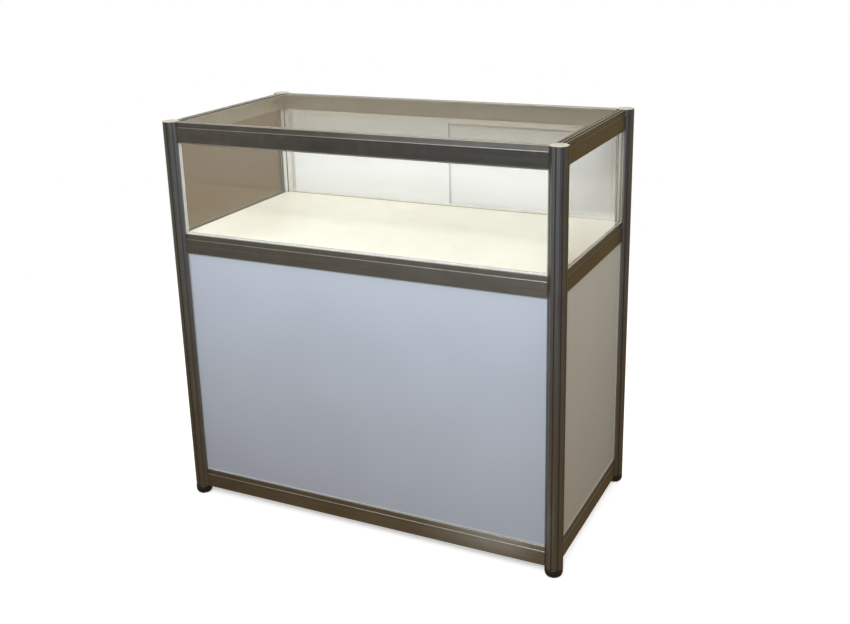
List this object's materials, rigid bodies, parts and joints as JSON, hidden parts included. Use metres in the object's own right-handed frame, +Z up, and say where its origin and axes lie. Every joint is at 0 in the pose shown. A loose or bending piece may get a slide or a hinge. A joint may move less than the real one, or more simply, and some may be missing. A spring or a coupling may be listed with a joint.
{
  "type": "exhibition display counter",
  "caption": "Floor-standing exhibition counter: slotted octagonal posts and beams, a glazed display case above a closed cupboard, lockable sliding doors at the rear.",
  "frame": {"origin": "on the floor, under the middle of the counter", "axes": "+Z up, front glass faces -Y, +X to the right of someone who looks at the front"},
  "size_m": [1.033, 0.538, 1.0065],
  "materials": {
    "post_aluminium": "dark bronze-grey anodised, satin, drawn along the length",
    "beam_aluminium": "dark bronze-grey anodised, satin, drawn along the length",
    "cap_plastic": "cream moulded plastic",
    "foot_plastic": "black moulded plastic, slightly glossy",
    "glass": "clear float glass with polished edges",
    "deck_board": "warm white melamine facing",
    "floor_board": "off-white melamine facing",
    "front_panel": "pale blue-grey laminate, fine orange-peel, satin",
    "side_panel": "pale warm grey laminate, satin",
    "door_panel": "white laminate, satin",
    "track_plastic": "white extruded plastic",
    "trim_aluminium": "natural anodised, satin",
    "lock_chrome": "nickel plated, fine scratches",
    "lock_brass": "machined brass face"
  },
  "bodies": {
    "frame": {"post_front_left": "post_aluminium", "post_cap_front_left": "cap_plastic", "post_front_right": "post_aluminium", "post_cap_front_right": "cap_plastic", "post_back_left": "post_aluminium", "post_cap_back_left": "cap_plastic", "post_back_right": "post_aluminium", "post_cap_back_right": "cap_plastic", "beam_bottom_front": "beam_aluminium", "beam_bottom_back": "beam_aluminium", "beam_bottom_left": "beam_aluminium", "beam_bottom_right": "beam_aluminium", "beam_middle_front": "beam_aluminium", "beam_middle_back": "beam_aluminium", "beam_middle_left": "beam_aluminium", "beam_middle_right": "beam_aluminium", "beam_top_front": "beam_aluminium", "beam_top_back": "beam_aluminium", "beam_top_left": "beam_aluminium", "beam_top_right": "beam_aluminium", "glass_front": "glass", "glass_left": "glass", "glass_right": "glass", "glass_top": "glass", "panel_front": "front_panel", "panel_left": "side_panel", "panel_right": "side_panel", "display_deck": "deck_board", "cupboard_floor": "floor_board", "door_track_upper_bottom": "track_plastic", "door_track_upper_top": "track_plastic", "door_channel_upper_left": "track_plastic", "door_channel_upper_right": "track_plastic", "door_track_lower_bottom": "track_plastic", "door_track_lower_top": "track_plastic", "door_channel_lower_left": "track_plastic", "door_channel_lower_right": "track_plastic"},
    "upper_left_door": {"door_upper_left": "door_panel", "door_grip_upper_left": "trim_aluminium", "lock_keeper_upper": "lock_chrome"},
    "upper_right_door": {"door_upper_right": "door_panel", "door_grip_upper_right": "trim_aluminium", "lock_body_upper": "lock_chrome"},
    "upper_lock_bolt": {"lock_bolt_upper": "lock_chrome"},
    "upper_lock_cylinder": {"lock_cylinder_upper": "lock_brass"},
    "lower_left_door": {"door_lower_left": "door_panel", "door_grip_lower_left": "trim_aluminium", "lock_keeper_lower": "lock_chrome"},
    "lower_right_door": {"door_lower_right": "door_panel", "door_grip_lower_right": "trim_aluminium", "lock_body_lower": "lock_chrome"},
    "lower_lock_bolt": {"lock_bolt_lower": "lock_chrome"},
    "lower_lock_cylinder": {"lock_cylinder_lower": "lock_brass"},
    "foot_front_left": {"levelling_foot_front_left": "foot_plastic"},
    "foot_front_right": {"levelling_foot_front_right": "foot_plastic"},
    "foot_back_left": {"levelling_foot_back_left": "foot_plastic"},
    "foot_back_right": {"levelling_foot_back_right": "foot_plastic"}
  },
  "joints": [
    {"name": "upper_left_door_slide", "type": "slide", "parent": "frame", "child": "upper_left_door", "axis": [1, 0, 0], "range_m": [0, 0.449]},
    {"name": "upper_right_door_slide", "type": "slide", "parent": "frame", "child": "upper_right_door", "axis": [1, 0, 0], "range_m": [-0.449, 0]},
    {"name": "upper_lock_push", "type": "slide", "parent": "upper_right_door", "child": "upper_lock_bolt", "axis": [0, -1, 0], "range_m": [0, 0.0045], "stiffness_N_per_m": 300},
    {"name": "upper_lock_turn", "type": "hinge", "parent": "upper_lock_bolt", "child": "upper_lock_cylinder", "pos_m": [0, 0.262, 0.756], "axis": [0, 1, 0], "range_deg": [0, 90]},
    {"name": "lower_left_door_slide", "type": "slide", "parent": "frame", "child": "lower_left_door", "axis": [1, 0, 0], "range_m": [0, 0.449]},
    {"name": "lower_right_door_slide", "type": "slide", "parent": "frame", "child": "lower_right_door", "axis": [1, 0, 0], "range_m": [-0.449, 0]},
    {"name": "lower_lock_push", "type": "slide", "parent": "lower_right_door", "child": "lower_lock_bolt", "axis": [0, -1, 0], "range_m": [0, 0.0045], "stiffness_N_per_m": 300},
    {"name": "lower_lock_turn", "type": "hinge", "parent": "lower_lock_bolt", "child": "lower_lock_cylinder", "pos_m": [0, 0.262, 0.636], "axis": [0, 1, 0], "range_deg": [0, 90]},
    {"name": "foot_front_left_height", "type": "slide", "parent": "frame", "child": "foot_front_left", "axis": [0, 0, -1], "range_m": [0, 0.012]},
    {"name": "foot_front_right_height", "type": "slide", "parent": "frame", "child": "foot_front_right", "axis": [0, 0, -1], "range_m": [0, 0.012]},
    {"name": "foot_back_left_height", "type": "slide", "parent": "frame", "child": "foot_back_left", "axis": [0, 0, -1], "range_m": [0, 0.012]},
    {"name": "foot_back_right_height", "type": "slide", "parent": "frame", "child": "foot_back_right", "axis": [0, 0, -1], "range_m": [0, 0.012]}
  ]
}
